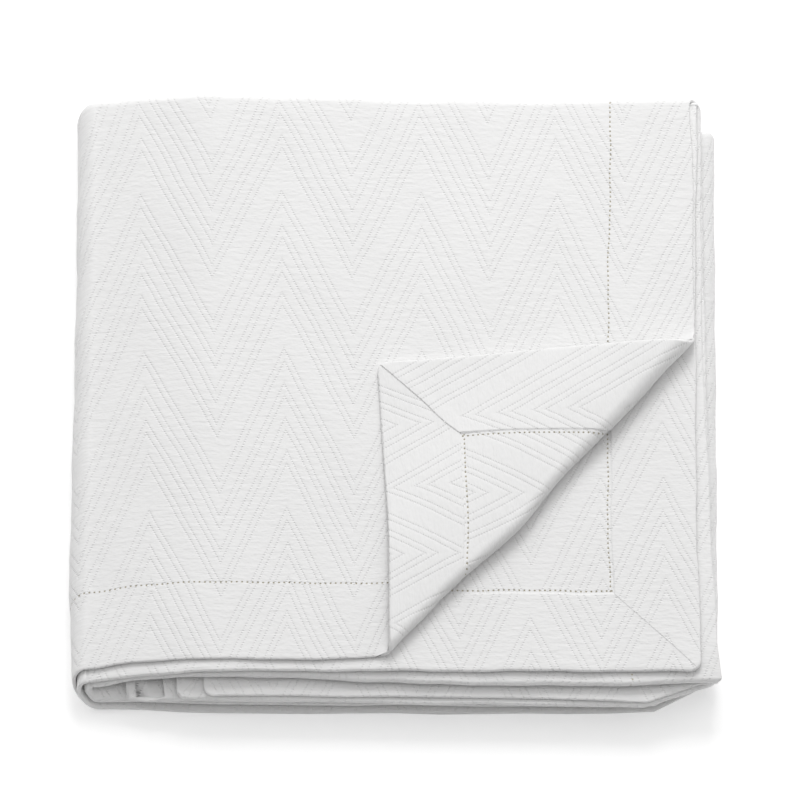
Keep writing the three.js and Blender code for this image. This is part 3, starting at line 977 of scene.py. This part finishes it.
def side_points(sheet, cloth, side):
    """The points of the cloth's face or reverse, with its hem, mitres, holes and rounded rim."""
    column, row = sheet.station.T
    position = lay_cloth(column, row, cloth)
    normal = face_direction(column, row, cloth)
    from_edge = sheet.from_edge()
    rim = np.sqrt(1 - (1 - np.clip(from_edge / RIM_LINES[3], 0, 1)) ** 2)
    rim = np.maximum(rim, RIM_LEAST)
    from_side, from_end = edge_distances(sheet)
    depth = np.full(len(column), cloth["thickness"] / 2)
    if side == "reverse":
        hem = 1 - ease((from_edge - STEP_LINES[0]) / (STEP_LINES[1] - STEP_LINES[0]))
        gap = from_end - from_side
        overlap = np.where(gap >= -0.01, 1 - ease((gap - SEAM["fade_start"]) / SEAM["fade"]), 0)
        overlap = np.where(row >= SECTION_STARTS[6], SECOND_SEAM, 1.0) * overlap * hem
        in_dip = (np.abs(gap - SEAM["dip"]) < 0.1) & (row < SECTION_STARTS[6])
        dip = np.where(in_dip, cloth["seam_dip"], 0)
        depth += cloth["hem_extra"] * hem + cloth["seam_step"] * overlap - dip * hem
    depth = depth * rim - cloth["hole_depth"] * hole_depth(sheet)
    way = 1 if side == "face" else -1
    return position + way * depth[:, None] * normal


def rim_edges(triangles):
    """Directed edges that only one triangle has."""
    start = triangles.ravel()
    end = np.roll(triangles, -1, axis=1).ravel()
    key = np.minimum(start, end) * (triangles.max() + 1) + np.maximum(start, end)
    _, first, count = np.unique(key, return_index=True, return_counts=True)
    return np.column_stack([start, end])[first[count == 1]]


def corner_maps(sheet, side):
    """The two maps of each triangle's corners: its place on the flat cloth and its place in the pattern."""
    corners = sheet.place[:, :2][sheet.triangles]
    pattern = sheet.place[sheet.triangles][:, :, 4:]
    if side == "face":
        across, along = corners[:, :, 0], corners[:, :, 1]
        pattern[:, :, 0] += FACE_ACROSS["right"] * (1 - ease(across / FACE_ACROSS["width"]))
        lift = FACE_ALONG["front"] + FACE_ALONG["growth"] * along
        pattern[:, :, 1] += lift + FACE_ALONG["right"] * (1 - ease(across / FACE_ALONG["width"]))
    if side == "reverse":
        pattern[:, :, 0] += pattern_shift(sheet, "ground")[sheet.triangles]
        from_side, from_end = (values[sheet.triangles].mean(axis=1) for values in edge_distances(sheet))
        in_hem = np.minimum(from_side, from_end) < STEP_LINES[1] - 0.5
        side_hem = in_hem & (from_side < from_end)
        end_hem = in_hem & ~side_hem
        turned_across = side_hem_across(sheet)[sheet.triangles]
        turned_along = end_hem_along(sheet)[sheet.triangles]
        pattern[side_hem, :, 0] = turned_across[side_hem]
        end_across = sheet.place[:, 4] + pattern_shift(sheet, "end")
        pattern[end_hem, :, 0] = end_across[sheet.triangles][end_hem]
        pattern[end_hem, :, 1] = turned_along[end_hem]
    return corners, pattern


def cloth_mesh(cloth):
    """The whole coverlet as one closed mesh with its two maps."""
    sheets = {}
    for side in ("face", "reverse"):
        sheet = Sheet(cloth)
        cut_turned_corner(sheet)
        if side == "face":
            cut_holes(sheet, outer_skin)
        else:
            cut_mitres(sheet)
            cut_holes(sheet, reverse_seen)
        sheets[side] = sheet
    points = []
    triangles = []
    maps = {"cloth": [], "pattern": []}
    start = 0
    rims = {}
    for side, sheet in sheets.items():
        points.append(side_points(sheet, cloth, side))
        # The reverse looks the other way, so its triangles run the other way round.
        way = 1 if side == "face" else -1
        triangles.append(sheet.triangles[:, ::way] + start)
        flat, pattern = corner_maps(sheet, side)
        maps["cloth"].append(flat[:, ::way])
        maps["pattern"].append(pattern[:, ::way])
        rims[side] = start
        start += len(sheet.station)
    edge = rim_edges(sheets["face"].triangles)
    low, high = edge.T
    under_low, under_high = rims["reverse"] + low, rims["reverse"] + high
    halves = [np.column_stack([low, under_low, under_high]), np.column_stack([low, under_high, high])]
    wall = np.concatenate(halves)
    triangles.append(wall)
    numbers = np.where(wall >= rims["reverse"], wall - rims["reverse"], wall)
    maps["cloth"].append(sheets["face"].place[numbers][:, :, :2])
    maps["pattern"].append(sheets["face"].place[numbers][:, :, 4:])
    mesh = bpy.data.meshes.new("coverlet_cloth")
    vertices = np.concatenate(points) * MM
    vertices[:, 2] = np.maximum(vertices[:, 2], 0)
    faces = np.concatenate(triangles)
    mesh.from_pydata(vertices.tolist(), [], faces.tolist())
    for name, corners in maps.items():
        layer = mesh.uv_layers.new(name=name)
        layer.data.foreach_set("uv", (np.concatenate(corners) * MM).astype(np.float32).ravel())
    mesh.shade_smooth()
    mesh.validate()
    return mesh


class COVERLET_OT_cloth(bpy.types.Operator):
    """Folds the coverlet and gives it its cotton"""

    bl_idname = "coverlet.cloth"
    bl_label = "Coverlet"

    def execute(self, context):
        settings = context.scene.coverlet_cloth
        sizes = ("width", "length", "thickness", "hem_extra", "seam_step", "seam_dip", "hole_depth")
        cloth = {name: getattr(settings, name) / MM for name in sizes}
        cloth["colour"] = tuple(settings.colour)
        # The painted shade inside the holes goes with the cloth's settings.
        cloth["hole_colour"] = tuple(settings.hole_colour)
        mesh = cloth_mesh(cloth)
        mesh.materials.append(cotton_material(cloth))
        piece = bpy.data.objects.new("coverlet_cloth", mesh)
        context.scene.collection.objects.link(piece)
        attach(piece, "root")
        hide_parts("coverlet")
        print("coverlet triangles", len(mesh.polygons))
        return {"FINISHED"}


class COVERLET_OT_stage(bpy.types.Operator):
    """Sets up the pale floor, the soft light and the camera"""

    bl_idname = "coverlet.stage"
    bl_label = "Studio"

    def execute(self, context):
        settings = context.scene.coverlet_stage
        scene = context.scene
        scene.view_settings.view_transform = "Standard"
        self.floor(scene, settings)
        self.light(scene, settings)
        self.camera(scene, settings)
        return {"FINISHED"}

    def floor(self, scene, settings):
        mesh = bpy.data.meshes.new("floor")
        signs = ((-1, -1), (1, -1), (1, 1), (-1, 1))
        corners = [(FLOOR_HALF * x, FLOOR_HALF * y, -FLOOR_GAP) for x, y in signs]
        mesh.from_pydata(corners, [], [(0, 1, 2, 3)])
        material = bpy.data.materials.new("pale_floor")
        material.use_nodes = True
        nodes = Nodes(material.node_tree)
        sockets = {
            "Base Color": (*settings.floor_colour, 1),
            "Roughness": 1.0,
            "Specular IOR Level": 0.0,
            "Emission Color": (1, 1, 1, 1),
            "Emission Strength": settings.floor_glow,
        }
        surface = nodes.add("ShaderNodeBsdfPrincipled", sockets=sockets)
        nodes.add("ShaderNodeOutputMaterial", sockets={"Surface": surface})
        mesh.materials.append(material)
        floor = bpy.data.objects.new("floor", mesh)
        scene.collection.objects.link(floor)

    def light(self, scene, settings):
        world = bpy.data.worlds.new("studio")
        world.use_nodes = True
        nodes = Nodes(world.node_tree)
        view = nodes.add("ShaderNodeTexCoord")
        sockets = {0: view, 1: tuple(Vector(BRIGHT_SIDE).normalized())}
        facing = nodes.add("ShaderNodeVectorMath", {"operation": "DOT_PRODUCT"}, sockets, output=1)
        dark = (*(settings.dim_sky,) * 3, 1)
        blend = nodes.smooth(facing, SKY_BLEND["start"], SKY_BLEND["end"])
        glow = nodes.mix(blend, dark, (1, 1, 1, 1))
        sky = nodes.add("ShaderNodeBackground", sockets={"Color": glow, "Strength": settings.sky_strength})
        nodes.add("ShaderNodeOutputWorld", sockets={"Surface": sky})
        scene.world = world
        data = bpy.data.lights.new("window", "AREA")
        data.energy = settings.lamp_strength
        data.size = LAMP["size"]
        lamp = bpy.data.objects.new("window", data)
        lamp.location = LAMP["place"]
        lamp.rotation_euler = lamp.location.to_track_quat("Z", "Y").to_euler()
        scene.collection.objects.link(lamp)

    def camera(self, scene, settings):
        data = bpy.data.cameras.new("camera")
        data.lens = data.sensor_width * settings.distance / settings.view_width
        data.clip_end = 100
        camera = bpy.data.objects.new("camera", data)
        aim = Vector(CAMERA_AIM)
        back = Vector((0, -math.cos(settings.elevation), math.sin(settings.elevation)))
        camera.location = aim + back * settings.distance
        camera.rotation_euler = back.to_track_quat("Z", "Y").to_euler()
        scene.collection.objects.link(camera)
        scene.camera = camera


class COVERLET_PT_panel(bpy.types.Panel):
    bl_idname = "COVERLET_PT_panel"
    bl_label = "Folded Coverlet"
    bl_space_type = "VIEW_3D"
    bl_region_type = "UI"
    bl_category = "Coverlet"

    def draw(self, context):
        layout = self.layout
        for group, operator in (
            (context.scene.coverlet_cloth, COVERLET_OT_cloth),
            (context.scene.coverlet_stage, COVERLET_OT_stage),
        ):
            for name in group.__annotations__:
                layout.prop(group, name)
            layout.operator(operator.bl_idname)


CLASSES = (ClothSettings, StageSettings, COVERLET_OT_cloth, COVERLET_OT_stage, COVERLET_PT_panel)


def register():
    for cls in CLASSES:
        bpy.utils.register_class(cls)
    bpy.types.Scene.coverlet_cloth = bpy.props.PointerProperty(type=ClothSettings)
    bpy.types.Scene.coverlet_stage = bpy.props.PointerProperty(type=StageSettings)


def unregister():
    del bpy.types.Scene.coverlet_stage
    del bpy.types.Scene.coverlet_cloth
    for cls in reversed(CLASSES):
        bpy.utils.unregister_class(cls)


def main():
    register()
    bpy.ops.coverlet.cloth()
    bpy.ops.coverlet.stage()


if __name__ == "__main__":
    main()
